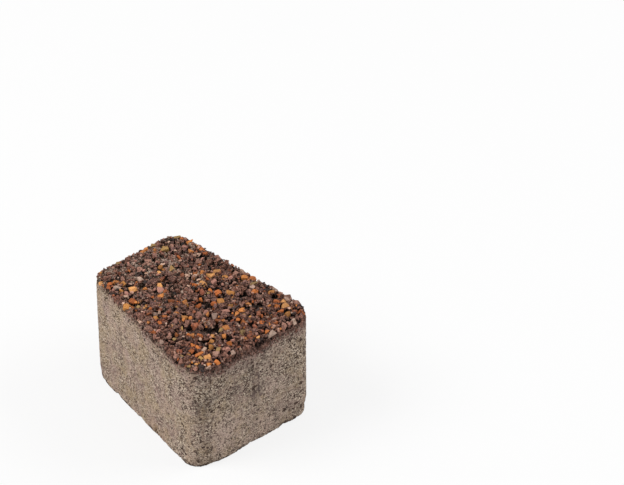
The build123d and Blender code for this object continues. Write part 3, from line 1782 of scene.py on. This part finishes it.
    def colour_of(self, site: Site, blend: Blend, chance: Chance) -> Array:
        """Picks a stone's mineral, with more ochre in the rich spots, and its shade.

        Args:
            site: Where the stone lies.
            blend: The shares of the minerals.
            chance: The random numbers.

        Returns:
            Its red, green, blue and mottling.
        """
        minerals, weights = zip(*blend)
        rich = self.lean_share + self.rich_gain * max(spot.nearness(site.place) for spot in self.rich_spots)
        gains = [rich if mineral is Mineral.OCHRE else 1.0 for mineral in minerals]
        shares = np.array(weights) * gains
        mineral = minerals[chance.choice(len(minerals), p=shares / shares.sum())]
        shade = np.array(mineral.value[chance.integers(len(mineral.value))])
        shade = np.clip(shade * (1 + chance.normal(0.0, self.shade_spread)), DARKEST, BRIGHTEST)
        return np.array([*shade, mineral.mottled])

    def kept_inside(self, stone: Array) -> Array:
        """Moves a stone in until no point of it stands out of the paver's walls or top.

        Args:
            stone: The stone's points.

        Returns:
            The points where they come to lie.
        """
        stone = stone - [0.0, 0.0, max(stone[:, 2].max() - self.plan.thickness, 0.0)]
        depth = self.plan.depth(stone[:, :2])
        outermost = depth.argmin()
        lacking = self.clearance - depth[outermost]
        if lacking > 0:
            way = self.plan.inward(stone[outermost][None], MM)[0]
            stone = stone + np.array([*way, 0.0]) * lacking
        return stone

    @staticmethod
    def flattened(shape: Array, triangles: Array) -> Array:
        """Opens a stone out on its cell of the baked map, from its top outwards.

        Args:
            shape: The stone's points, about its middle, with its top at +Z.
            triangles: The three points of each of its triangles.

        Returns:
            The place of each corner of each triangle in the cell, from 0 to 1.
        """
        centre, room, least_side = 0.5, 0.48, 1e-9
        underside, spare_corner, shrunk = -0.8, 0.03, 0.02
        ways = shape / np.linalg.norm(shape, axis=1)[:, None]
        fall = np.arccos(np.clip(ways[:, 2], -1, 1)) / math.pi
        side = ways[:, :2] / np.maximum(np.linalg.norm(ways[:, :2], axis=1), least_side)[:, None]
        flat = centre + room * fall[:, None] * side
        corners = flat[triangles]
        middle = shape[triangles].mean(1)
        under = middle[:, 2] < underside * np.linalg.norm(middle, axis=1)
        corners[under] = spare_corner + shrunk * corners[under]
        return corners.reshape(-1, 2)


@dataclass(frozen=True)
class Lamp:
    """A square soft lamp that shines at the paver: its place and size in metres, and its power in watts."""

    name: str
    place: Point
    size: float
    power: float

    def hang(self) -> None:
        """Adds the lamp to the scene."""
        light = bpy.data.lights.new(self.name, "AREA")
        light.size = self.size
        light.energy = self.power
        lamp = bpy.data.objects.new(self.name, light)
        lamp.location = self.place
        lamp.rotation_euler = (-Vector(self.place)).to_track_quat("-Z", "Y").to_euler()
        bpy.context.scene.collection.objects.link(lamp)


@dataclass
class Studio:
    """The pale floor, the soft light and the camera."""

    floor_size: float = 6.0
    floor_shade: Colour = (0.82, 0.82, 0.82)
    floor_glow: float = 0.8
    sky_light: float = 0.45
    sky_shown: float = 1.0
    sky_colour: Colour = (1.0, 1.0, 1.0)
    lamps: tuple[Lamp, ...] = (
        Lamp("soft_key", (-1.16, 0.67, 1.34), 1.0, 25.0),
        Lamp("soft_fill", (1.35, -0.78, 1.09), 1.2, 18.0),
    )
    camera_place: Point = (-0.7559, -0.9633, 1.0299)
    camera_pitch: float = math.radians(37.486)
    camera_turn: float = math.radians(40.7476)
    lens: float = 190.37
    sensor: float = 36.0

    def build(self) -> None:
        """Sets up the floor, the world, the lamps and the camera."""
        bpy.context.scene.view_settings.view_transform = "Standard"
        self.floor()
        self.world()
        for lamp in self.lamps:
            lamp.hang()
        self.camera()

    @staticmethod
    def seen_directly(nodes: Nodes) -> Socket:
        """Tells what the camera, a reflection or glass looks at from what only lights the object.

        Args:
            nodes: The nodes that it is added to.

        Returns:
            1 for such a ray, 0 for the rest.
        """
        path = nodes.node("ShaderNodeLightPath").outputs
        seen = path["Is Camera Ray"]
        for name in ("Is Glossy Ray", "Is Transmission Ray"):
            seen = nodes.sum_of("MAXIMUM", seen, path[name])
        return seen

    def floor(self) -> None:
        """Lays the pale floor, which shows nearly white and keeps a soft shadow."""
        deselect_all()
        bpy.ops.mesh.primitive_plane_add(size=self.floor_size)
        floor = bpy.context.object
        floor.name = "floor"
        material = bpy.data.materials.new("pale_floor")
        material.use_nodes = True
        nodes = Nodes(material.node_tree)
        nodes.tree.nodes.clear()
        matt = nodes.node("ShaderNodeBsdfDiffuse")
        nodes.feed(matt.inputs["Color"], self.floor_shade)
        glow = nodes.node("ShaderNodeEmission")
        share = nodes.sum_of("MULTIPLY", self.seen_directly(nodes), self.floor_glow)
        both = nodes.node("ShaderNodeMixShader")
        for socket, value in zip(both.inputs, (share, matt.outputs[0], glow.outputs[0])):
            nodes.feed(socket, value)
        output = nodes.node("ShaderNodeOutputMaterial")
        nodes.feed(output.inputs["Surface"], both.outputs[0])
        floor.data.materials.append(material)

    def world(self) -> None:
        """Lights the scene evenly from the sky, which shows white."""
        world = bpy.data.worlds.new("soft_sky")
        world.use_nodes = True
        nodes = Nodes(world.node_tree)
        sky = nodes.tree.nodes["Background"]
        strength = nodes.node("ShaderNodeMapRange")
        nodes.feed(strength.inputs["To Min"], self.sky_light)
        nodes.feed(strength.inputs["To Max"], self.sky_shown)
        nodes.feed(strength.inputs["Value"], self.seen_directly(nodes))
        nodes.feed(sky.inputs["Color"], self.sky_colour)
        nodes.feed(sky.inputs["Strength"], strength.outputs[0])
        bpy.context.scene.world = world

    def camera(self) -> None:
        """Places the camera where the photograph was taken from."""
        data = bpy.data.cameras.new("camera")
        data.lens = self.lens
        data.sensor_width = self.sensor
        camera = bpy.data.objects.new("camera", data)
        camera.location = self.camera_place
        camera.rotation_euler = (math.pi / 2 - self.camera_pitch, 0.0, -self.camera_turn)
        bpy.context.scene.collection.objects.link(camera)
        bpy.context.scene.camera = camera


def main() -> None:
    """Builds the paver's pieces in order, and reports each."""
    logging.basicConfig(level=logging.INFO, format="%(name)s: %(message)s")
    plan = StonePlan()
    concrete = PressedConcrete()
    face_mix = FaceMix(plan, concrete)
    pieces = [BaseMix(plan, concrete).build(), face_mix.build()]
    pieces += WashedFace(plan, CrushedStone(), face_mix.washouts).build()
    for piece in pieces:
        piece.data.calc_loop_triangles()
        log.info("%s: %d triangles", piece.name, len(piece.data.loop_triangles))
    Studio().build()


if __name__ == "__main__":
    main()
